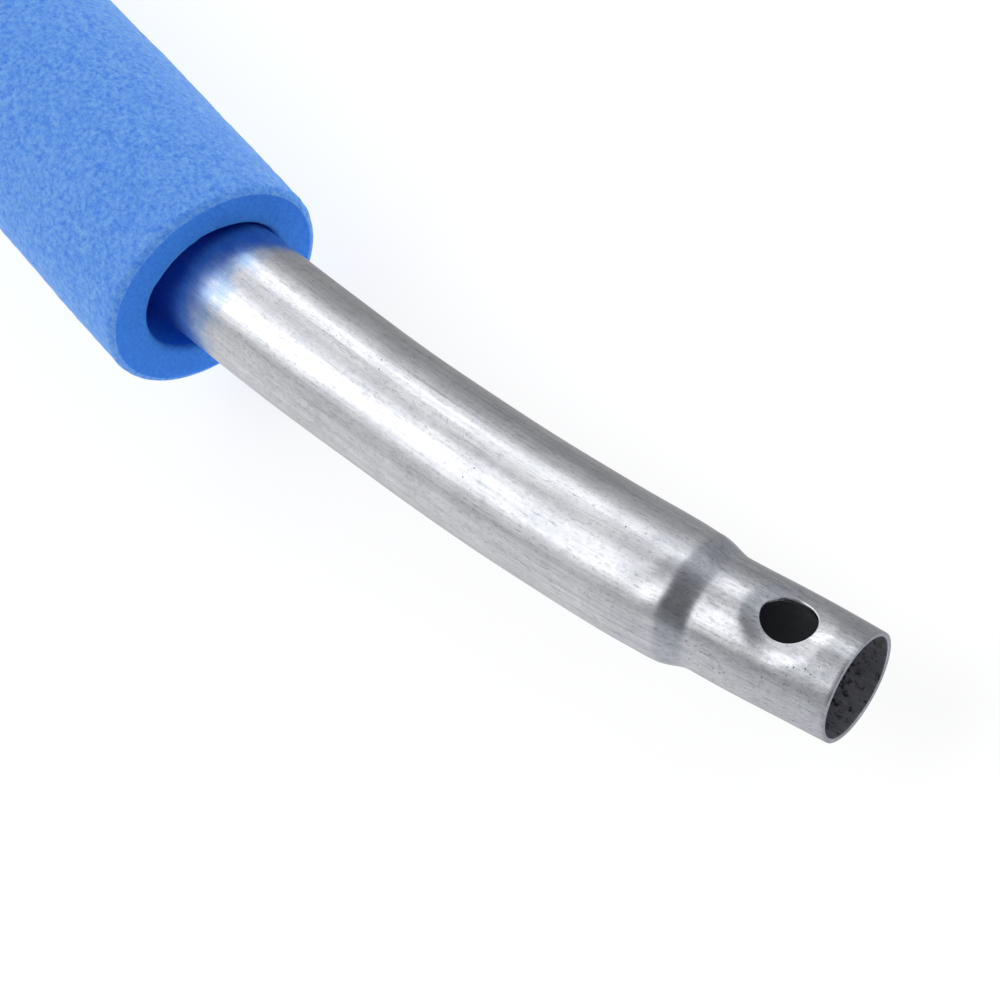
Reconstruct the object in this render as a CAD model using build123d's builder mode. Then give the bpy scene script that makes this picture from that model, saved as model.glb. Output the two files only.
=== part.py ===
"""Padded pole: the upper section of a two-piece safety-net pole for a small trampoline.

A thin-walled galvanised steel tube carries a loose foam sleeve. Its lower end is bent gently, then
swaged down to a tapered spigot with a cross hole, which plugs into the lower section. A moulded cap
closes the upper end. The frame's origin is where the cross hole meets the tube's axis, +X points
out of the spigot's mouth, the bend lies in the XY plane and the padded run leaves towards -X and +Y.
"""

import os
from math import asin, cos, radians, sin, tan

from build123d import *

# Driving dimensions, millimetres and degrees
TUBE_OD = 25.0
WALL = 1.0
TUBE_LENGTH = 650.0  # along the centreline, mouth to upper end

MOUTH_OD = 20.6  # the spigot's nose is a shallow cone, so that it starts easily
SEAT_OD = 21.4  # the parallel band behind it, which locates in the lower tube
HOLE_FROM_MOUTH = 13.0
HOLE_D = 9.6
HOLE_CLOCK = 63.7  # hole axis, turned from +Y towards +Z
NOSE_LENGTH = 19.5
SEAT_LENGTH = 8.0
SHOULDER_LENGTH = 14.5
SHOULDER = ((2.5, 0.18), (4.5, 0.55), (7.0, 0.81))  # (distance from the seat, share of the rise)
MOUTH_ROUND = 0.25

# The bend, from the spigot towards the padded run: (radius, turn). It is tightest by the shoulder.
TIGHT_BEND = (420.0, 4.57)
OPEN_BEND = (934.0, 4.6)  # ends at the sleeve's mouth
INNER_TURN = 7.24  # the rest of the bend, hidden in the sleeve

SLEEVE_OD = 47.6
SLEEVE_ID = 30.0
SLEEVE_LENGTH = 484.0
SLEEVE_EDGE = 1.2
REST_GAP = 0.4  # left between the tube and the bore where the two lean on each other

CAP_FLANGE_D = 44.0
CAP_FLANGE = 3.0
CAP_CROWN = 7.0
CAP_EDGE = 1.0
PLUG_LENGTH = 24.0
PLUG_OD = 21.0
PLUG_WALL = 2.0
RIB_COUNT = 8
RIB_WIDTH = 1.6
RIB_GAP = 0.05  # each side, rib to tube bore
CAP_SEAT_GAP = 0.1

# Derived sizes
TUBE_R = TUBE_OD / 2
BORE_R = TUBE_R - WALL
X_MOUTH = HOLE_FROM_MOUTH
X_NOSE = X_MOUTH - NOSE_LENGTH
X_SEAT = X_NOSE - SEAT_LENGTH
X_BEND = X_SEAT - SHOULDER_LENGTH
PLAY = (SLEEVE_ID - TUBE_OD) / 2 - REST_GAP
INNER_R = 2 * PLAY / (1 - cos(radians(INNER_TURN)))
TOTAL_TURN = TIGHT_BEND[1] + OPEN_BEND[1] + INNER_TURN


def heading(turn):
    """Direction of travel up the pole after the bend has turned by so many degrees."""
    return Vector(-cos(radians(turn)), sin(radians(turn)), 0)


def pole_path():
    """Centreline from the start of the bend to the upper end, as tangent arcs and one straight."""
    bends = [TIGHT_BEND, OPEN_BEND, (INNER_R, INNER_TURN)]
    used = HOLE_FROM_MOUTH - X_BEND + sum(radius * radians(turn) for radius, turn in bends)
    marks = []
    with BuildLine() as path:
        start, turned = Vector(X_BEND, 0, 0), 0.0
        for radius, turn in bends:
            arc = JernArc(start, heading(turned), radius, -turn)
            start, turned = arc @ 1, turned + turn
            marks.append(start)
        Line(start, start + heading(turned) * (TUBE_LENGTH - used))
    return path.line, marks[1]


PATH, TUBE_AT_SLEEVE = pole_path()
RUN = heading(TOTAL_TURN)  # up the padded run, away from the bend
RUN_SIDE = Vector(-RUN.Y, RUN.X, 0)  # square to the run, on the outside of the bend
UPPER_END = PATH @ 1
SLEEVE_START = TUBE_AT_SLEEVE + RUN_SIDE * PLAY
SLEEVE_PLANE = Plane(origin=SLEEVE_START, x_dir=(0, 0, 1), z_dir=RUN)
CAP_PLANE = Plane(origin=UPPER_END + RUN * CAP_SEAT_GAP, x_dir=(0, 0, 1), z_dir=RUN)
HOLE_AXIS = Vector(0, cos(radians(HOLE_CLOCK)), sin(radians(HOLE_CLOCK)))


def spigot_profile(inset):
    """Half outline of the swaged end, from the bend's start to the mouth, set in from the skin."""
    rise = TUBE_R - SEAT_OD / 2
    with BuildLine() as outline:
        Spline(
            (X_BEND, TUBE_R - inset),
            *[(X_SEAT - far, SEAT_OD / 2 + share * rise - inset) for far, share in SHOULDER[::-1]],
            (X_SEAT, SEAT_OD / 2 - inset),
            tangents=[(1, 0), (1, 0)],
        )
        Line((X_SEAT, SEAT_OD / 2 - inset), (X_NOSE, SEAT_OD / 2 - inset))
        Line((X_NOSE, SEAT_OD / 2 - inset), (X_MOUTH, MOUTH_OD / 2 - inset))
    return outline.line


def make_tube():
    """The steel tube: swaged spigot, gentle bend, straight run and a cross hole through the spigot."""
    with BuildPart() as tube:
        with BuildSketch():
            with BuildLine():
                add(spigot_profile(0))
                add(spigot_profile(WALL))
                Line((X_BEND, BORE_R), (X_BEND, TUBE_R))
                Line((X_MOUTH, MOUTH_OD / 2 - WALL), (X_MOUTH, MOUTH_OD / 2))
            make_face()
        revolve(axis=Axis.X)
        mouth_edges = tube.edges().filter_by(GeomType.CIRCLE).group_by(Axis.X)[-1]
        fillet(mouth_edges, MOUTH_ROUND)
        with BuildLine():
            add(PATH)
        with BuildSketch(Plane(origin=(X_BEND, 0, 0), z_dir=(-1, 0, 0))):
            Circle(TUBE_R)
            Circle(BORE_R, mode=Mode.SUBTRACT)
        sweep()
        with BuildSketch(Plane(origin=(0, 0, 0), x_dir=(1, 0, 0), z_dir=HOLE_AXIS)):
            Circle(HOLE_D / 2)
        extrude(amount=TUBE_R, both=True, mode=Mode.SUBTRACT)
    tube.part.label = "pole_tube"
    return tube.part


def make_sleeve():
    """The foam sleeve: a thick straight tube, looser than the pole, with softly cut outer edges."""
    with BuildPart() as sleeve:
        with BuildSketch(SLEEVE_PLANE):
            Circle(SLEEVE_OD / 2)
            Circle(SLEEVE_ID / 2, mode=Mode.SUBTRACT)
        extrude(amount=SLEEVE_LENGTH)
        outer_edges = sleeve.edges().filter_by(GeomType.CIRCLE).sort_by(SortBy.RADIUS)[-2:]
        fillet(outer_edges, SLEEVE_EDGE)
    sleeve.part.label = "foam_sleeve"
    return sleeve.part


def make_cap():
    """The moulded end cap: a low dome on a flange, with a hollow ribbed plug for the tube's bore."""
    flange_r = CAP_FLANGE_D / 2
    rib_reach = BORE_R - RIB_GAP
    crown_r = (flange_r**2 + CAP_CROWN**2) / (2 * CAP_CROWN)
    crown_half = asin(flange_r / crown_r) / 2
    crown_mid = (crown_r * sin(crown_half), CAP_FLANGE + CAP_CROWN - crown_r * (1 - cos(crown_half)))
    with BuildPart() as cap:
        with BuildSketch(Plane.XZ):
            with BuildLine():
                Line((0, 0), (flange_r, 0))
                Line((flange_r, 0), (flange_r, CAP_FLANGE))
                ThreePointArc((flange_r, CAP_FLANGE), crown_mid, (0, CAP_FLANGE + CAP_CROWN))
                Line((0, CAP_FLANGE + CAP_CROWN), (0, 0))
            make_face()
        revolve(axis=Axis.Z)
        rims = cap.edges().filter_by(GeomType.CIRCLE).sort_by(SortBy.RADIUS)[-2:]
        fillet(rims, CAP_EDGE)
        with BuildSketch(Plane.XY):
            Circle(PLUG_OD / 2)
        extrude(amount=-PLUG_LENGTH)
        nose = cap.edges().filter_by(GeomType.CIRCLE).sort_by(Axis.Z)[0]
        chamfer(nose, 1.0)
        with BuildSketch(Plane.XY):
            with PolarLocations(PLUG_OD / 2 - 0.5, RIB_COUNT):
                Rectangle(2 * (rib_reach - PLUG_OD / 2 + 0.5), RIB_WIDTH)
            Circle(rib_reach, mode=Mode.INTERSECT)
        extrude(amount=-(PLUG_LENGTH - 5.0))
        with BuildSketch(Plane.XY.offset(-PLUG_LENGTH)):
            Circle(PLUG_OD / 2 - PLUG_WALL)
        extrude(amount=PLUG_LENGTH, mode=Mode.SUBTRACT)
    cap.part.label = "top_cap"
    return cap.part


def report_sizes():
    """Prints the places that the record and the scene state."""
    print("sleeve start", SLEEVE_START, "run", RUN, "outside", RUN_SIDE)
    print("upper end", UPPER_END, "sleeve end", SLEEVE_START + RUN * SLEEVE_LENGTH)
    free = (UPPER_END - SLEEVE_START).dot(RUN) + CAP_SEAT_GAP - SLEEVE_LENGTH
    print("free travel to the cap", free, "inner bend radius", INNER_R)


os.makedirs("parts", exist_ok=True)
tube = make_tube()
sleeve = make_sleeve()
cap = CAP_PLANE.location * make_cap()
cap.label = "top_cap"
for piece in (tube, sleeve, cap):
    export_step(piece, f"parts/{piece.label}.step")
report_sizes()
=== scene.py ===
from math import asin, cos, degrees, pi, radians, sin

import bmesh
import bpy
import numpy as np
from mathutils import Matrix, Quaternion, Vector


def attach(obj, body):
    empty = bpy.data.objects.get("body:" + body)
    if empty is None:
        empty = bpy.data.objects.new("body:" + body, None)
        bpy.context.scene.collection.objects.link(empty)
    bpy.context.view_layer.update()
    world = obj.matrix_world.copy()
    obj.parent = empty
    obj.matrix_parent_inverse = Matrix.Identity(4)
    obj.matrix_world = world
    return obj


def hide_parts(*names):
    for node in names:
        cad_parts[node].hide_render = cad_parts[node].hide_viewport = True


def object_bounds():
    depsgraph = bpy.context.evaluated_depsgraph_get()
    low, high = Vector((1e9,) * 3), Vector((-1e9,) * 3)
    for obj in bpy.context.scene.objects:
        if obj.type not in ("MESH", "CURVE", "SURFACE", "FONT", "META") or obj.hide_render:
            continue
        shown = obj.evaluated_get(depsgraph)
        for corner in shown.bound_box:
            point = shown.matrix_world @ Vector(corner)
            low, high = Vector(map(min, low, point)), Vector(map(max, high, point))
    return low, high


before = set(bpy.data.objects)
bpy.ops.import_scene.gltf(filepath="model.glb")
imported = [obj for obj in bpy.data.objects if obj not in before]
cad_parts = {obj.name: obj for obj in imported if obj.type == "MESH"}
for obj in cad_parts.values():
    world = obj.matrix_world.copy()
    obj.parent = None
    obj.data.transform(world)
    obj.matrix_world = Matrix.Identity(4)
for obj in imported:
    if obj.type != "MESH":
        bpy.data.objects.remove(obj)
cad_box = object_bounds()

MM = 0.001

# ---- Sizes, in millimetres and degrees: the same design as the CAD solids ----
WALL = 0.9
TUBE_R = 12.5
MOUTH_R = 10.3
SEAT_R = 10.74
NOSE_LENGTH = 19.5
SEAT_LENGTH = 8.0
SHOULDER_LENGTH = 14.5
HOLE_FROM_MOUTH = 13.0
HOLE_R = 4.8
HOLE_CLOCK = radians(63.7)
BEND_START = NOSE_LENGTH + SEAT_LENGTH + SHOULDER_LENGTH
BENDS = ((420.0, 4.57), (934.0, 4.6), (526.775, 7.24))  # radius, turn
SLEEVE_R = 23.8
SLEEVE_BORE_R = 15.0
PLAY = 2.1  # the sleeve's axis to the tube's, where the two lean on each other
CAP_FLANGE_R = 22.0
TUBE_LENGTH = 650.0
SLEEVE_LENGTH = 484.0


# ---- The pole's centreline ----
def centreline(s):
    """Points, headings and sideways directions at distances s (mm) up the pole from its mouth.

    Each arc adds R(sin a0 - sin a1) along X and R(cos a0 - cos a1) along Y, where a is how far the
    bend has turned; a straight adds its length along the heading (-cos a, sin a).
    """
    s = np.asarray(s, float)
    x = HOLE_FROM_MOUTH - np.clip(s, None, BEND_START)
    y = np.zeros_like(s)
    start, turned = BEND_START, 0.0
    turn = np.zeros_like(s)
    for radius, angle in BENDS:
        length = radius * radians(angle)
        now = turned + np.clip(s - start, 0, length) / radius
        x += radius * (sin(turned) - np.sin(now))
        y += radius * (cos(turned) - np.cos(now))
        turn = np.where(s > start, now, turn)
        start, turned = start + length, turned + radians(angle)
    rest = np.clip(s - start, 0, None)
    x -= rest * cos(turned)
    y += rest * sin(turned)
    zero = np.zeros_like(s)
    point = np.stack([x, y, zero], -1)
    heading = np.stack([-np.cos(turn), np.sin(turn), zero], -1)
    sideways = np.stack([np.sin(turn), np.cos(turn), zero], -1)
    return point, heading, sideways


def arc_end():
    """Distance up the pole where the last bend ends."""
    return BEND_START + sum(radius * radians(angle) for radius, angle in BENDS)


SLEEVE_AT = BEND_START + sum(radius * radians(angle) for radius, angle in BENDS[:2])
RUN = centreline(arc_end() + 1.0)[1]
OUTSIDE = np.array([-RUN[1], RUN[0], 0.0])
SLEEVE_START = centreline(SLEEVE_AT)[0] + OUTSIDE * PLAY
UPPER_END = centreline(TUBE_LENGTH)[0]
UP = np.array([0.0, 0.0, 1.0])


# ---- Mesh helpers ----
def smooth_step(value, low, high):
    """0 below low, 1 above high, and 3t^2 - 2t^3 between."""
    t = np.clip((value - low) / (high - low), 0, 1)
    return t * t * (3 - 2 * t)


def grid_faces(rows, columns, offset=0, wrap=False):
    """Quads between neighbouring rows of a grid of points, whose columns are joined round.

    With wrap, the last row is joined to the first as well.
    """
    i = np.arange(rows if wrap else rows - 1)[:, None]
    j = np.arange(columns)[None, :]
    up, on = (i + 1) % rows, (j + 1) % columns
    quads = np.stack([i * columns + j, i * columns + on, up * columns + on, up * columns + j], -1)
    return quads.reshape(-1, 4) + offset


def make_piece(name, points, faces, unbent, materials, face_material=None, weld=False):
    """A smooth-shaded closed mesh object from points in mm, with every face turned outwards.

    Points that no face uses are dropped, and weld joins those that lie together. The straightened
    copy of the points is kept on the mesh, in metres, for the materials' patterns.
    """
    used = np.zeros(len(points), bool)
    used[faces.ravel()] = True
    number = np.cumsum(used) - 1
    mesh = bpy.data.meshes.new(name)
    mesh.from_pydata((points[used] * MM).tolist(), [], number[faces].tolist())
    mesh.polygons.foreach_set("use_smooth", np.ones(len(mesh.polygons), bool))
    if face_material is not None:
        mesh.polygons.foreach_set("material_index", np.asarray(face_material, np.int32))
    layer = mesh.attributes.new("unbent", "FLOAT_VECTOR", "POINT")
    layer.data.foreach_set("vector", (unbent[used] * MM).astype(np.float32).ravel())
    for material in materials:
        mesh.materials.append(material)
    shell = bmesh.new()
    shell.from_mesh(mesh)
    if weld:
        bmesh.ops.remove_doubles(shell, verts=shell.verts, dist=1e-6)
    bmesh.ops.recalc_face_normals(shell, faces=shell.faces)
    shell.to_mesh(mesh)
    shell.free()
    mesh.update()
    piece = bpy.data.objects.new(name, mesh)
    bpy.context.scene.collection.objects.link(piece)
    return piece


def waves(seed, count, shortest, longest):
    """A seeded sum of plane waves: random directions, and wavelengths between two sizes in mm."""
    draw = np.random.default_rng(seed)
    direction = draw.normal(size=(count, 3))
    direction /= np.linalg.norm(direction, axis=1)[:, None]
    length = shortest * (longest / shortest) ** draw.random(count)
    phase = draw.random(count) * 2 * pi

    def height(points):
        value = np.zeros(points.shape[:-1])
        for k in range(count):
            value += np.sin(points @ direction[k] * 2 * pi / length[k] + phase[k])
        return value / np.sqrt(count / 2)

    return height


# ---- The steel tube ----
OUTER, INNER = 0, 1  # the tube's materials
TUBE_COLUMNS = 180
END_EASE = 0.2  # mm that the skins stop short of the tube's two ends, for the rounded rims
HOLE_COLUMNS = 20  # grid cells from the hole's middle to the side of the square round it
HOLE_HALF = 7.4  # mm along the tube, middle of the hole to the square's end
HOLE_STRETCH = 0.03  # how much longer than round the punch tears the hole, along the tube
DISH_DEPTH = 0.52  # mm that the punch pushed the wall in at the hole's edge
DISH_REACH = 3.5  # mm from the hole's edge to where the wall is true again
NECK_OVAL = 0.42  # mm that the tube is wider in the plane of its bend, where it enters the sleeve
SWAY = 0.25  # mm that the centreline strays to either side between the seat and the sleeve
DIE_MARKS = waves(11, 18, 6.0, 15.0)  # wrinkles that the swaging die left on the shoulder
DIE_DEPTH = 0.05
DIE_ZONE = (23, 29, 34, 42)  # mm from the mouth where the wrinkles start, are full, fade and end
ROLL_MARKS = waves(12, 14, 16.0, 45.0)  # the faint unevenness of roll-formed tube
ROLL_DEPTH = 0.02
STEP_SHARE = 0.8  # of the shoulder's rise, the part in its short steep step


def skin_radius(s):
    """Outer radius along the tube: a tapered nose, a parallel seat, a shoulder and the full tube.

    The nose's taper eases out as (1 - s/L)^1.5. The shoulder is two smooth steps added: four
    fifths of the rise in a short one where the die stopped, the rest in one that fades out.
    """
    nose = MOUTH_R + (SEAT_R - MOUTH_R) * (1 - np.clip(1 - s / NOSE_LENGTH, 0, 1) ** 1.5)
    seat_end = NOSE_LENGTH + SEAT_LENGTH
    step = smooth_step(s, seat_end - 0.2, seat_end + 5.8)
    tail = smooth_step(s, seat_end + 2.5, BEND_START + 2.0)
    return nose + (TUBE_R - SEAT_R) * (STEP_SHARE * step + (1 - STEP_SHARE) * tail)


def dish(s, phi):
    """How far the punch has pushed the wall in: deepest at the hole's edge, then a smooth step up."""
    u = s - HOLE_FROM_MOUTH
    turned = (phi - HOLE_CLOCK + pi) % (2 * pi) - pi
    v = skin_radius(s) * np.sin(turned)
    out = np.clip(np.sqrt(u * u + v * v) - HOLE_R, 0, None)
    facing = np.cos(turned) > 0
    return DISH_DEPTH * (1 - smooth_step(out, 0, DISH_REACH)) * facing


def tube_points(s, phi, depth):
    """Points at distance s and clock angle phi, sunk by depth below the skin, and unbent copies.

    The point is centre + r(cos phi sideways + sin phi up), where r is the skin's radius less the
    dish round the hole and the depth, plus the waves of the die and the rolls. The unbent copy has
    the same s and r on a straight tube.
    """
    point, _, sideways = centreline(s)
    r = skin_radius(s) - dish(s, phi) - depth
    straight = np.stack([s, np.cos(phi) * r, np.sin(phi) * r], -1)
    start, full, fade, end = DIE_ZONE
    wrinkled = smooth_step(s, start, full) * (1 - smooth_step(s, fade, end))
    r = r + DIE_DEPTH * wrinkled * DIE_MARKS(straight)
    r = r + ROLL_DEPTH * smooth_step(s, 26, 40) * ROLL_MARKS(straight)
    oval = NECK_OVAL * smooth_step(s, 100, 140) * (1 - smooth_step(s, 165, 200))
    # It strays one way over the bend, and seven tenths as far the other way on the seat
    bend_way = smooth_step(s, 24, 66) * (1 - smooth_step(s, 170, 210))
    seat_way = smooth_step(s, 8, 24) * (1 - smooth_step(s, 24, 66))
    across = np.cos(phi) * (r + oval) + SWAY * (bend_way - 0.7 * seat_way)
    above = np.sin(phi) * r
    place = point + across[..., None] * sideways + above[..., None] * UP
    return place, np.stack([s, across, above], -1)


def hole_rings(half_turn, rows, first_row):
    """The grid points round the square window about a hole: their numbers in the grid, how far
    each is from the hole's middle along the tube and in angle, and in which direction it lies.
    """
    n = HOLE_COLUMNS
    run = np.arange(-n, n)
    i = np.concatenate([np.full(2 * n, -n), run, np.full(2 * n, n), -run]) + n + first_row
    j = np.concatenate([run, np.full(2 * n, n), -run, np.full(2 * n, -n)])
    u = rows[i] - HOLE_FROM_MOUTH
    angle = j * 2 * pi / TUBE_COLUMNS
    turn = np.arctan2(skin_radius(rows[i]) * np.sin(angle), u)
    column = (j + half_turn * TUBE_COLUMNS // 2) % TUBE_COLUMNS
    return i * TUBE_COLUMNS + column, u, angle, turn


def ring_at(share, radius, u, angle, turn):
    """Distances and clock angles of one ring, a share of the way from the square to the circle.

    The circle of radius a is a cos t along the tube and asin(a sin t / R) round it, so it is round
    seen down the hole.
    """
    su = radius * (1 + HOLE_STRETCH) * np.cos(turn)
    sa = np.arcsin(radius * (1 - HOLE_STRETCH) * np.sin(turn) / SEAT_R)
    return HOLE_FROM_MOUTH + u + (su - u) * share, angle + (sa - angle) * share


def build_tube(materials):
    """One closed wall: outer and inner skins, the mouth's rolled rim, both holes and the far end."""
    first = HOLE_FROM_MOUTH - HOLE_HALF
    last = HOLE_FROM_MOUTH + HOLE_HALF
    first_row = 8  # rows between the mouth and the window
    rows = np.concatenate([
        np.linspace(END_EASE, first, first_row + 1)[:-1],
        np.linspace(first, last, 2 * HOLE_COLUMNS + 1)[:-1],
        np.linspace(last, BEND_START, 40)[:-1],
        np.linspace(BEND_START, 230, 80)[:-1],
        np.linspace(230, TUBE_LENGTH - END_EASE, 36),
    ])
    columns = TUBE_COLUMNS
    phi = HOLE_CLOCK + np.arange(columns) * 2 * pi / columns
    s_grid, phi_grid = np.meshgrid(rows, phi, indexing="ij")
    blocks, faces, sides = [], [], []
    count = 0

    def add_points(s, angle, depth):
        nonlocal count
        s, angle = np.broadcast_arrays(np.asarray(s, float), angle)
        blocks.append([a.reshape(-1, 3) for a in tube_points(s, angle, depth)])
        start = count
        count += s.size
        return start

    def add_faces(quads, side):
        faces.append(quads)
        sides.append(np.full(len(quads), side))

    def join(a, b, side):
        """Quads between two rings, given as arrays of point numbers in the same order."""
        add_faces(np.stack([a, np.roll(a, -1), np.roll(b, -1), b], -1), side)

    ring = np.arange(columns)
    i = np.arange(len(rows) - 1)[:, None]
    j = np.arange(columns)[None, :]
    in_rows = (i >= first_row) & (i < first_row + 2 * HOLE_COLUMNS)
    cut = np.zeros((len(rows) - 1, columns), bool)
    for middle in (0, columns // 2):
        away = (j - middle + HOLE_COLUMNS) % columns
        cut |= in_rows & (away < 2 * HOLE_COLUMNS)
    keep = ~cut.ravel()
    skins = []
    for depth, side in ((0.0, OUTER), (WALL, INNER)):
        start = add_points(s_grid, phi_grid, depth)
        skins.append(start)
        add_faces(grid_faces(len(rows), columns, start)[keep], side)

    # The mouth's rim and the far end, outer skin to inner skin
    for edge, rim in (
        (0, ((0.05, 0.03), (0.0, 0.13), (0.0, 0.72), (0.06, 0.85))),
        (len(rows) - 1, ((TUBE_LENGTH, 0.2), (TUBE_LENGTH, 0.8))),  # cut square
    ):
        before = skins[0] + edge * columns + ring
        for s, depth in rim:
            now = add_points(s, phi, depth) + ring
            join(before, now, OUTER)
            before = now
        join(before, skins[1] + edge * columns + ring, OUTER)

    # The holes: the square's outer skin, the punched edge, and back to the inner skin's square
    shares = (0.22, 0.42, 0.6, 0.75, 0.87, 0.95)
    edge_rings = ((0.24, 0.0), (0.13, 0.02), (0.05, 0.07), (0.0, 0.18), (0.0, 0.82), (0.05, WALL))
    for half_turn in (0, 1):
        window, u, angle, turn = hole_rings(half_turn, rows, first_row)
        clock = HOLE_CLOCK + half_turn * pi
        circle = np.arange(len(window))
        before = skins[0] + window
        rings = [(share, edge_rings[0][0], 0.0, OUTER) for share in shares]
        rings += [(1.0, out, depth, OUTER) for out, depth in edge_rings]
        rings += [(share, 0.05, WALL, INNER) for share in shares[::-1]]
        for share, out, depth, side in rings:
            s, a = ring_at(share, HOLE_R + out, u, angle, turn)
            now = add_points(s, clock + a, depth) + circle
            join(before, now, side)
            before = now
        join(before, skins[1] + window, INNER)

    points, unbent = (np.concatenate(part) for part in zip(*blocks))
    faces, sides = np.concatenate(faces), np.concatenate(sides)
    return make_piece("steel_tube", points, faces, unbent, materials, sides)


# ---- Pieces turned about the padded run ----
def turned_points(origin, t, r, phi, ripple=0.0):
    """Points at distance t along the run from an origin and r + ripple from its axis, clocked phi."""
    sideways = np.array([RUN[1], -RUN[0], 0.0])
    reach = r + ripple
    across, above = np.cos(phi) * reach, np.sin(phi) * reach
    return origin + t[..., None] * RUN + across[..., None] * sideways + above[..., None] * UP


def arc(t, r, radius, start, end, count):
    """Profile points (t, r) on an arc about (t, r), its angles in degrees from +t towards +r."""
    a = np.radians(np.linspace(start, end, count))
    return np.stack([t + radius * np.cos(a), r + radius * np.sin(a)], -1)


def line(start, end, count):
    """Profile points spaced evenly along a straight, without its last point."""
    return np.linspace(start, end, count + 1)[:-1]


SKIN, SAWN, BORED = 0, 1, 2  # the sleeve's materials
SLEEVE_COLUMNS = 240
NEAR_END = 60.0  # mm of the sleeve, from its end by the bend, that get the finer grid
GIVE = 0.5  # mm that the foam's bore is pressed out where the tube leans on it
GIVE_HALF = 0.6  # radians to either side over which that falls off
SKIN_LONG, SKIN_SHORT = 0.10, 0.035  # mm of slow and quick unevenness of the extruded skin
SAWN_LONG, SAWN_SHORT = 0.07, 0.03  # and of the sawn faces


def build_sleeve(materials):
    """The foam tube: a closed profile carried round the run's axis, with a faintly uneven skin.

    The skin is r + a sum of long and short waves; the sawn faces are waved along the run.
    """
    edge, lip = 1.5, 1.2
    outer, bore, length = SLEEVE_R, SLEEVE_BORE_R, SLEEVE_LENGTH
    near = NEAR_END
    parts = [
        (line((0.0, bore + lip), (0.0, outer - edge), 14), SAWN),
        (arc(edge, outer - edge, edge, 180, 90, 9)[:-1], SKIN),
        (line((edge, outer), (near, outer), 90), SKIN),
        (line((near, outer), (length - edge, outer), 90), SKIN),
        (arc(length - edge, outer - edge, edge, 90, 0, 7)[:-1], SKIN),
        (line((length, outer - edge), (length, bore + lip), 8), SAWN),
        (arc(length - lip, bore + lip, lip, 0, -90, 5)[:-1], SAWN),
        (line((length - lip, bore), (near, bore), 40), BORED),
        (line((near, bore), (lip, bore), 30), BORED),
        (arc(lip, bore + lip, lip, -90, -180, 6)[:-1], SAWN),
    ]
    profile = np.concatenate([p[0] for p in parts])
    kind = np.concatenate([np.full(len(p[0]), p[1]) for p in parts])
    phi = np.arange(SLEEVE_COLUMNS) * 2 * pi / SLEEVE_COLUMNS
    t, angle = np.meshgrid(profile[:, 0], phi, indexing="ij")
    r = np.repeat(profile[:, 1:], len(phi), 1)
    near_bore = np.clip((SLEEVE_BORE_R + 2.5 - r) / 2.5, 0, 1)
    away = (angle + pi) % (2 * pi) - pi
    r = r + GIVE * near_bore * np.exp(-((away / GIVE_HALF) ** 2)) * (1 - smooth_step(t, 5, 28))
    plain = turned_points(SLEEVE_START, t, r, angle)
    long_waves = waves(3, 14, 22.0, 70.0)(plain)
    short_waves = waves(5, 40, 2.2, 6.0)(plain)
    skin = np.clip((r - outer + edge) / edge, 0, 1)
    ripple = skin * (SKIN_LONG * long_waves + SKIN_SHORT * short_waves)
    sawn = SAWN_LONG * waves(8, 16, 6.0, 20.0)(plain) + SAWN_SHORT * short_waves
    sawn = (kind == SAWN)[:, None] * sawn
    points = turned_points(SLEEVE_START, t + sawn, r, angle, ripple).reshape(-1, 3)
    straight = np.stack([t, np.cos(angle) * r, np.sin(angle) * r], -1).reshape(-1, 3)
    quads = grid_faces(*t.shape, wrap=True)
    return make_piece("sleeve", points, quads, straight, materials, np.repeat(kind, SLEEVE_COLUMNS))


CAP_COLUMNS = 144


def build_cap(materials):
    """The end cap: a low dome with a ring groove on a flange, and a hollow plug, turned as one wall."""
    flange, crown, edge = 3.0, 7.0, 1.0
    plug, plug_r, plug_wall = 24.0, 10.5, 2.0
    groove = 0.35
    dome_r = (CAP_FLANGE_R**2 + crown**2) / (2 * crown)
    dome_at = flange + crown - dome_r
    half = degrees(asin((CAP_FLANGE_R - 1.4) / dome_r))
    profile = np.concatenate([
        [(flange + crown, 0.0)],
        arc(dome_at, 0.0, dome_r, 0.6, half * 0.55, 24),
        arc(dome_at, 0.0, dome_r - groove, half * 0.57, half * 0.63, 6),
        arc(dome_at, 0.0, dome_r, half * 0.65, half, 20),
        arc(flange - 0.2, CAP_FLANGE_R - edge, edge, 62, 90, 5),
        line((flange - 0.6, CAP_FLANGE_R), (0.6, CAP_FLANGE_R), 6),
        arc(0.6, CAP_FLANGE_R - 0.6, 0.6, 90, 180, 6),
        line((0.0, CAP_FLANGE_R - 0.8), (0.0, plug_r + 0.3), 8),
        arc(-0.3, plug_r + 0.3, 0.3, 0, -90, 4),
        line((-0.5, plug_r), (-plug + 1.0, plug_r), 10),
        [(-plug + 1.0, plug_r), (-plug, plug_r - 1.0), (-plug, plug_r - plug_wall)],
        [(0.0, plug_r - plug_wall), (0.0, 0.0)],
    ])
    phi = np.arange(CAP_COLUMNS) * 2 * pi / CAP_COLUMNS
    t, angle = np.meshgrid(profile[:, 0], phi, indexing="ij")
    r = np.repeat(profile[:, 1:], len(phi), 1)
    points = turned_points(UPPER_END + RUN * 0.1, t, r, angle).reshape(-1, 3)
    straight = np.stack([t, np.cos(angle) * r, np.sin(angle) * r], -1).reshape(-1, 3)
    return make_piece("cap", points, grid_faces(*t.shape), straight, materials, weld=True)


# ---- Materials ----
def colour(code):
    """An sRGB hex value as linear red, green, blue and alpha."""
    parts = [int(code[k:k + 2], 16) / 255 for k in (1, 3, 5)]
    return tuple(c / 12.92 if c <= 0.04045 else ((c + 0.055) / 1.055) ** 2.4 for c in parts) + (1.0,)


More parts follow.
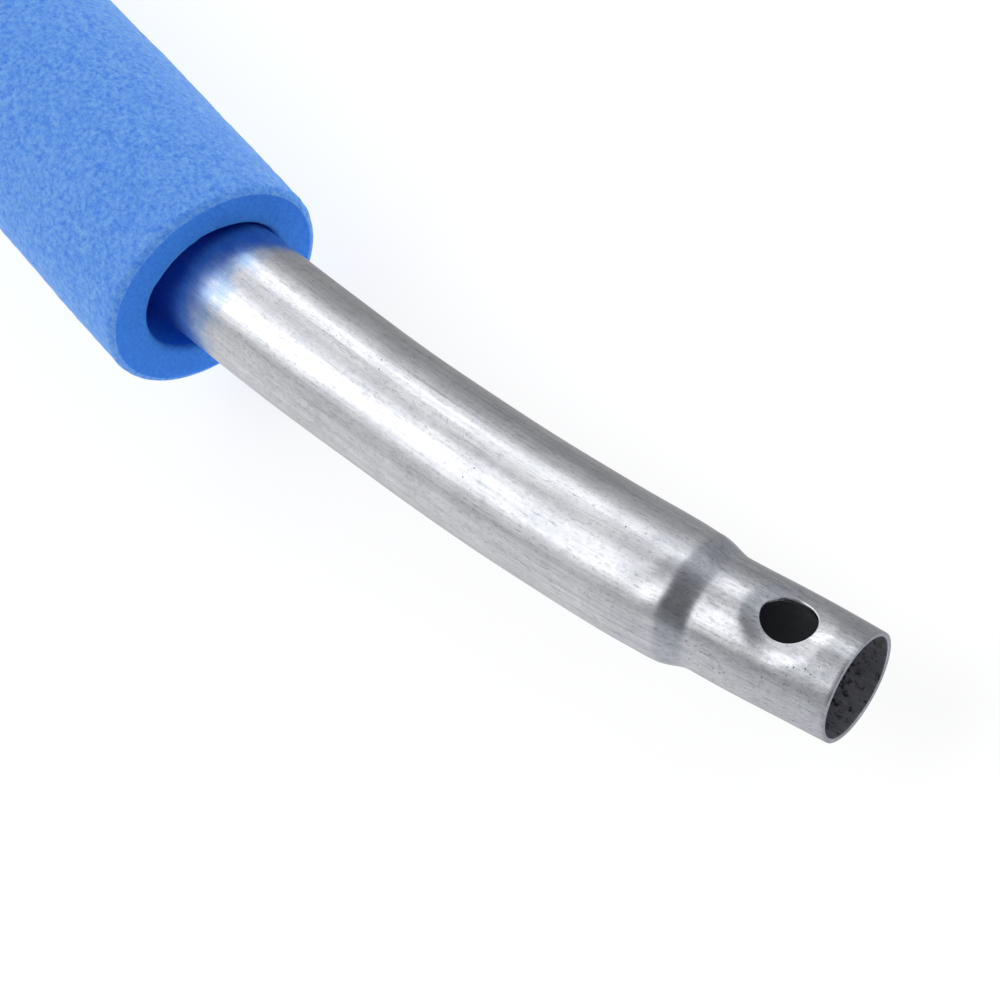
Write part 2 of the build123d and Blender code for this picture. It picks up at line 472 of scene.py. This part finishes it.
def add_node(tree, kind, out=0, **settings):
    """Adds a shader node and returns the socket of one of its outputs.

    A setting names an input, with _ for a space, or is i and the input's number, or else it names
    one of the node's own properties. A socket is linked; any other value becomes the constant.
    """
    node = tree.nodes.new("ShaderNode" + kind)
    for key, value in settings.items():
        name = int(key[1:]) if key[0] == "i" and key[1:].isdigit() else key.replace("_", " ")
        if isinstance(name, str) and name not in node.inputs:
            setattr(node, key, value)
        elif isinstance(value, bpy.types.NodeSocket):
            tree.links.new(value, node.inputs[name])
        else:
            node.inputs[name].default_value = value
    return node.outputs[out] if node.outputs else None


def new_material(name):
    """An empty material, its tree, and the straightened coordinates that its patterns follow."""
    material = bpy.data.materials.new(name)
    material.use_nodes = True
    tree = material.node_tree
    tree.nodes.clear()
    return material, tree, add_node(tree, "Attribute", 1, attribute_name="unbent")


def paint(tree, base, layers):
    """Lays colours over a base: each where its pattern goes from low to high, up to its share."""
    for pattern, low, high, share, code in layers:
        cover = add_node(tree, "MapRange", Value=pattern, From_Min=low, From_Max=high, To_Max=share)
        base = add_node(tree, "Mix", 2, data_type="RGBA", i0=cover, i6=base, i7=colour(code))
    return base


def emboss(tree, layers):
    """Bumps laid over each other: a height, how strong, how deep in mm and whether it sinks in."""
    normal = add_node(tree, "NewGeometry", 1)
    for height, strength, depth, sinks in layers:
        normal = add_node(tree, "Bump", invert=sinks, Strength=strength, Distance=depth * MM,
                          Height=height, Normal=normal)
    return normal


def galvanised_steel():
    """Pre-galvanised strip, roll-formed and drawn into tube.

    To the eye: bright grey zinc that still mirrors in soft bands, clouded where the coat varies,
    with fine lines from the rolls along the tube, and short scores and pits that have gone dark.
    """
    material, tree, place = new_material("pregalvanised_steel")
    # Size in mm, squeeze along the tube, detail and roughness. Roll lines are about 0.1 mm wide on
    # real tube, the grain and the scratches finer still: all are drawn as coarse as they need to show.
    lines, bands, cloud, grain, scores, scored, scratch, pitted, specks, reflection_and_rub_noise, worn = (
        add_node(tree, "TexNoise", Vector=add_node(tree, "Mapping", Vector=place, Scale=(along, 1, 1)),
                 Scale=1 / (size * MM), Detail=detail, Roughness=rough)
        for size, along, detail, rough in (
            (0.9, 0.02, 3, 0.6), (5, 0.05, 2, 0.5), (9, 1, 3, 0.6), (0.55, 0.5, 3, 0.65),
            (0.7, 0.02, 2, 0.5), (7, 0.3, 1, 0.5), (0.38, 0.09, 2, 0.7), (9, 1, 2, 0.5),
            (0.42, 1, 1, 0.5), (3.5, 1, 3, 0.6), (0.5, 0.35, 5, 0.75),
        )
    )
    flecks = add_node(tree, "TexVoronoi", 1, Vector=place, Scale=1 / (1.3 * MM))
    dots = add_node(tree, "TexVoronoi", Vector=place, Scale=1 / (1.6 * MM))
    along = add_node(tree, "SeparateXYZ", Vector=place)
    across = add_node(tree, "SeparateXYZ", 1, Vector=place)
    # The drawn-down end was gripped hardest on its lower side, so most of the pits are there
    at_end = add_node(tree, "MapRange", Value=along, From_Min=0.034, From_Max=0.024)
    below = add_node(tree, "MapRange", Value=across, From_Min=0.002, From_Max=-0.006, To_Max=0.22)
    gripped = add_node(tree, "Math", operation="MULTIPLY", i0=at_end, i1=below)
    pitted = add_node(tree, "Math", operation="ADD", i0=pitted, i1=gripped)
    pitted = add_node(tree, "MapRange", Value=pitted, From_Min=0.6, From_Max=0.68)
    pit = add_node(tree, "MapRange", Value=dots, From_Min=0.12, From_Max=0.04)
    pits = add_node(tree, "Math", operation="MULTIPLY", i0=pit, i1=pitted)
    worn = add_node(tree, "MapRange", Value=worn, From_Min=0.5, From_Max=0.66)
    worn = add_node(tree, "Math", operation="MULTIPLY", i0=worn, i1=at_end)
    score = add_node(tree, "MapRange", Value=scores, From_Min=0.62, From_Max=0.7)
    scored = add_node(tree, "MapRange", Value=scored, From_Min=0.48, From_Max=0.6)
    scores = add_node(tree, "Math", operation="MULTIPLY", i0=score, i1=scored)
    # Next to the sleeve its blue is painted on to the zinc: a painted reflection and spill of the blue
    # foam, broken up like foam rubbed off on the steel
    sleeve_reflection_reach = add_node(tree, "MapRange", Value=along, From_Min=0.1315, From_Max=0.1425, To_Min=-0.4,
                      To_Max=0.25)
    reflection_and_rub = add_node(tree, "Math", operation="ADD", i0=reflection_and_rub_noise, i1=sleeve_reflection_reach)
    base = paint(tree, colour("#B8BAC1"), (
        (lines, 0.3, 0.7, 1.0, "#D9DADD"), (cloud, 0.35, 0.7, 0.5, "#A9ABB1"),
        (flecks, 0.2, 0.9, 0.16, "#E6E5E3"), (grain, 0.52, 0.75, 0.5, "#83858A"),
        (scratch, 0.6, 0.72, 0.45, "#6B6D72"), (scores, 0.0, 1.0, 0.3, "#5A5C61"),
        (worn, 0.0, 1.0, 0.36, "#6A6D74"),
        (specks, 0.72, 0.78, 0.6, "#4A4B50"), (pits, 0.0, 1.0, 0.75, "#2B2B30"),
        # painted reflection of the sleeve's blue, together with foam rubbed off on the zinc
        (reflection_and_rub, 0.42, 0.8, 0.6, "#5E93C9"),
    ))
    normal = emboss(tree, (
        (lines, 0.35, 0.04, False), (grain, 0.3, 0.05, False), (pits, 0.5, 0.12, True),
    ))
    rough = add_node(tree, "MapRange", Value=bands, From_Min=0.3, From_Max=0.7, To_Min=0.23, To_Max=0.32)
    shader = add_node(tree, "BsdfPrincipled", Base_Color=base, Metallic=1.0, Roughness=rough,
                      Normal=normal)
    add_node(tree, "OutputMaterial", Surface=shader)
    return material


def bare_steel():
    """Cold-rolled mill steel inside the tube, never coated after welding.

    To the eye: a flat mid grey with faint streaks along it, and black scale and old oil in blotches
    that thicken a few millimetres in from the mouth.
    """
    material, tree, place = new_material("mill_steel_inside")
    depth = add_node(tree, "SeparateXYZ", Vector=place)
    deeper = add_node(tree, "MapRange", Value=depth, From_Min=0.002, From_Max=0.009, To_Max=0.16)
    # Blotches of 1.5 mm, as flaked scale is; the streaks are rolling marks, drawn coarser than real
    scale = add_node(tree, "TexNoise", Vector=place, Scale=1 / (1.5 * MM), Detail=6, Roughness=0.78,
                     Distortion=0.3)
    drawn_out = add_node(tree, "Mapping", Vector=place, Scale=(0.25, 1, 1))
    streak = add_node(tree, "TexNoise", Vector=drawn_out, Scale=1 / (0.8 * MM), Detail=3, Roughness=0.6)
    blotch = add_node(tree, "Math", operation="ADD", i0=scale, i1=deeper)
    blotch = add_node(tree, "MapRange", Value=blotch, From_Min=0.55, From_Max=0.63)
    in_mouth = add_node(tree, "MapRange", Value=depth, From_Min=0.016, From_Max=0.012)
    blotch = add_node(tree, "Math", operation="MULTIPLY", i0=blotch, i1=in_mouth)
    base = paint(tree, colour("#707075"), (
        (streak, 0.3, 0.7, 1.0, "#8A8A8F"), (blotch, 0.0, 1.0, 0.95, "#222226"),
        (depth, 0.009, 0.016, 0.7, "#808186"),
    ))
    normal = emboss(tree, ((streak, 0.4, 0.1, False),))
    shader = add_node(tree, "BsdfPrincipled", Base_Color=base, Metallic=0.5, Roughness=0.55,
                      Normal=normal)
    add_node(tree, "OutputMaterial", Surface=shader)
    return material


FOAM_SCATTER = (0.15, 0.45, 1.0)  # blue light goes furthest through blue foam
FOAM_DEPTH = 0.006  # metres that it goes


def foam_skin():
    """Extruded polyethylene foam, left with the skin it came out of the die with.

    To the eye: matt and soft-edged, a little light goes into it, and it is mottled light and dark
    where closed cells of about a millimetre press against the skin.
    """
    material, tree, place = new_material("polyethylene_foam_skin")
    # Cells are 0.5 to 1.1 mm in such foam, and their groups about 9 mm
    cells, fine, patches = (
        add_node(tree, "TexNoise", Vector=place, Scale=1 / (size * MM), Detail=detail, Roughness=rough)
        for size, detail, rough in ((1.1, 3, 0.65), (0.6, 2, 0.6), (9, 3, 0.6))
    )
    base = paint(tree, colour("#3E88F6"), (
        (cells, 0.32, 0.68, 1.0, "#82BDFF"), (patches, 0.35, 0.7, 0.3, "#5E9FFA"),
        (fine, 0.42, 0.3, 0.45, "#2468DC"), (fine, 0.58, 0.76, 0.4, "#A2CEFF"),
    ))
    normal = emboss(tree, ((cells, 0.5, 0.3, False), (fine, 0.35, 0.15, False)))
    shader = add_node(tree, "BsdfPrincipled", Base_Color=base, Normal=normal, Roughness=0.75,
                      Specular_IOR_Level=0.35, Sheen_Weight=0.12, Sheen_Roughness=0.5,
                      Subsurface_Weight=0.35, Subsurface_Radius=FOAM_SCATTER,
                      Subsurface_Scale=FOAM_DEPTH)
    add_node(tree, "OutputMaterial", Surface=shader)
    return material


def foam_cut(name, dark, light):
    """The same polyethylene foam where it was sawn across, or cored for the bore.

    To the eye: no skin, so it is duller, smoother in tone and deeper in colour, with open cells. The
    bore's colours are darker and bluer still: painted shade of the hollow.
    """
    material, tree, place = new_material(name)
    cells, patches = (
        add_node(tree, "TexNoise", Vector=place, Scale=1 / (size * MM), Detail=detail, Roughness=rough)
        for size, detail, rough in ((0.8, 3, 0.65), (5, 2, 0.5))
    )
    base = paint(tree, colour(dark), ((cells, 0.35, 0.65, 1.0, light), (patches, 0.3, 0.7, 0.3, light)))
    normal = emboss(tree, ((cells, 0.4, 0.2, False),))
    shader = add_node(tree, "BsdfPrincipled", Base_Color=base, Normal=normal, Roughness=0.85,
                      Specular_IOR_Level=0.2, Subsurface_Weight=0.5,
                      Subsurface_Radius=FOAM_SCATTER, Subsurface_Scale=FOAM_DEPTH)
    add_node(tree, "OutputMaterial", Surface=shader)
    return material


def moulded_plastic():
    """Black polyethylene, injection moulded in a spark-eroded tool.

    To the eye: a fine even grain that dulls it, with patches rubbed slightly shinier by hands.
    """
    material, tree, place = new_material("moulded_polyethylene")
    # A spark-eroded grain is about 0.1 mm: it is drawn at 0.7 mm, as coarse as it needs to show
    grain, smudge = (
        add_node(tree, "TexNoise", Vector=place, Scale=1 / (size * MM), Detail=detail, Roughness=rough)
        for size, detail, rough in ((0.7, 3, 0.6), (14, 2, 0.5))
    )
    base = paint(tree, colour("#1B1B1D"), ((smudge, 0.3, 0.7, 1.0, "#262629"),))
    rough = add_node(tree, "MapRange", Value=smudge, From_Min=0.3, From_Max=0.7, To_Min=0.42,
                     To_Max=0.55)
    normal = emboss(tree, ((grain, 0.3, 0.1, False),))
    shader = add_node(tree, "BsdfPrincipled", IOR=1.5, Base_Color=base, Roughness=rough, Normal=normal)
    add_node(tree, "OutputMaterial", Surface=shader)
    return material


# ---- The set: floor, light and camera ----
FLOOR_HALF = 3.0  # metres from the middle to each side
FLOOR_GAP = 0.0002  # metres under the lowest point
SKIN_RELIEF = 0.4  # mm that the sleeve's uneven skin may stand proud
FLOOR_GLOW = 0.76  # a lit white sweep: most of its brightness doesn't depend on shadows


def build_floor():
    """A plain pale floor that the sleeve lies on. It is left out of the metal's reflections."""
    low = min(-(SLEEVE_R + SKIN_RELIEF) * MM, cad_box[0][2]) - FLOOR_GAP
    mesh = bpy.data.meshes.new("floor")
    corners = [(x * FLOOR_HALF, y * FLOOR_HALF, low) for x, y in ((-1, -1), (1, -1), (1, 1), (-1, 1))]
    mesh.from_pydata(corners, [], [(0, 1, 2, 3)])
    floor = bpy.data.objects.new("floor", mesh)
    bpy.context.scene.collection.objects.link(floor)
    material, tree, _ = new_material("pale_floor")
    shader = add_node(tree, "BsdfPrincipled", Base_Color=colour("#A3A3A3"), Roughness=0.9,
                      Specular_IOR_Level=0.1, Emission_Color=colour("#FFFFFF"),
                      Emission_Strength=FLOOR_GLOW)
    add_node(tree, "OutputMaterial", Surface=shader)
    mesh.materials.append(material)
    floor.visible_glossy = False


# Brightness round the pole, in degrees from +Y over the top. Towards the sleeve two long soft boxes
# hang over the pole and to its +Y side; towards the mouth there are none, and the top is dim.
LIGHT_SLEEVE_SIDE = (
    (-90, 0.60), (-50, 0.42), (-20, 0.42), (5, 0.66), (20, 1.0), (28, 2.05), (41, 2.05),
    (48, 1.3), (66, 1.1), (78, 1.25), (88, 2.3), (119, 2.3), (130, 1.1), (146, 0.70),
    (154, 0.72), (166, 0.92), (200, 1.02), (230, 0.9), (270, 0.60),
)
LIGHT_MOUTH_SIDE = (
    (-90, 0.55), (-40, 0.42), (0, 0.42), (30, 0.75), (48, 0.70), (64, 0.32), (78, 0.16),
    (125, 0.12), (142, 0.25), (160, 0.60), (200, 0.75), (270, 0.55),
)
# How far the first counts, along the pole: -1 is straight out of the mouth, 1 straight up the sleeve
SLEEVE_SIDE_SHARE = (
    (-1.0, 0.35), (-0.6, 0.2), (-0.25, 0.0), (0.14, 0.05), (0.41, 1.0), (0.6, 1.0), (1.0, 0.8),
)
BRIGHTEST = 4.0  # the level that the curves' white stands for


def build_light():
    """Soft light as a surrounding glow: two patterns of brightness round X, blended along it."""
    world = bpy.data.worlds.new("studio")
    bpy.context.scene.world = world
    world.use_nodes = True
    tree = world.node_tree
    tree.nodes.clear()
    way = add_node(tree, "TexCoord")
    x, y, z = (add_node(tree, "SeparateXYZ", axis, Vector=way) for axis in range(3))
    angle = add_node(tree, "Math", operation="ARCTAN2", i0=z, i1=y)
    turned = add_node(tree, "Math", operation="ADD", i0=angle, i1=pi / 2)
    turned = add_node(tree, "Math", operation="WRAP", i0=turned, i1=2 * pi, i2=0.0)
    round_pole = add_node(tree, "Math", operation="DIVIDE", i0=turned, i1=2 * pi)
    up_pole = add_node(tree, "MapRange", Value=x, From_Min=1.0, From_Max=-1.0)
    levels = []
    for place, start, span, pattern in (
        (round_pole, -90, 360, LIGHT_SLEEVE_SIDE),
        (round_pole, -90, 360, LIGHT_MOUTH_SIDE),
        (up_pole, -1, 2, SLEEVE_SIDE_SHARE),
    ):
        curve = add_node(tree, "ValToRGB", Fac=place)
        band = curve.node.color_ramp
        band.interpolation = "EASE"
        band.elements.remove(band.elements[0])
        for index, (at, level) in enumerate(pattern):
            stop = band.elements.new((at - start) / span) if index else band.elements[0]
            stop.position = (at - start) / span
            stop.color = (level / BRIGHTEST,) * 3 + (1.0,)
        levels.append(add_node(tree, "Math", operation="MULTIPLY", i0=curve, i1=BRIGHTEST))
    level = add_node(tree, "Mix", i0=levels[2], i2=levels[1], i3=levels[0])
    tint = add_node(tree, "Mix", 2, data_type="RGBA", i0=levels[2], i6=colour("#F4F8FF"),
                    i7=colour("#FFFFFF"))
    glow = add_node(tree, "Background", Color=tint, Strength=level)
    plain = add_node(tree, "Background", Color=colour("#FFFFFF"), Strength=1.0)
    seen = add_node(tree, "LightPath")
    both = add_node(tree, "MixShader", i0=seen, i1=glow, i2=plain)
    add_node(tree, "OutputWorld", Surface=both)


def build_camera():
    """A short telephoto view down on the spigot, rolled so that the pole runs from top left."""
    data = bpy.data.cameras.new("camera")
    data.lens = 86.4
    data.sensor_width = 36.0
    data.clip_start = 0.01
    camera = bpy.data.objects.new("camera", data)
    bpy.context.scene.collection.objects.link(camera)
    away = Vector((0.45447, -0.02606, 0.89038)).normalized()
    camera.location = Vector((-0.0613, -0.0011, 0.0)) + away * 0.4273
    turn = (-away).to_track_quat("-Z", "Y") @ Quaternion((0, 0, 1), radians(-57.6))
    camera.rotation_mode = "QUATERNION"
    camera.rotation_quaternion = turn
    bpy.context.scene.camera = camera


tube = build_tube([galvanised_steel(), bare_steel()])
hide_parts("pole_tube")
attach(tube, "pole")

sleeve = build_sleeve([
    foam_skin(),
    foam_cut("polyethylene_foam_sawn", "#397DE6", "#4B94F6"),
    # The bore gets darker, deeper blue than the sawn face: painted shade inside the sleeve's hollow
    foam_cut("polyethylene_foam_bore_painted_shade", "#1270FF", "#2884FF"),
])
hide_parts("foam_sleeve")
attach(sleeve, "sleeve")

cap = build_cap([moulded_plastic()])
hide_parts("top_cap")
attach(cap, "pole")

build_floor()
build_light()
build_camera()
bpy.context.scene.view_settings.view_transform = "Standard"
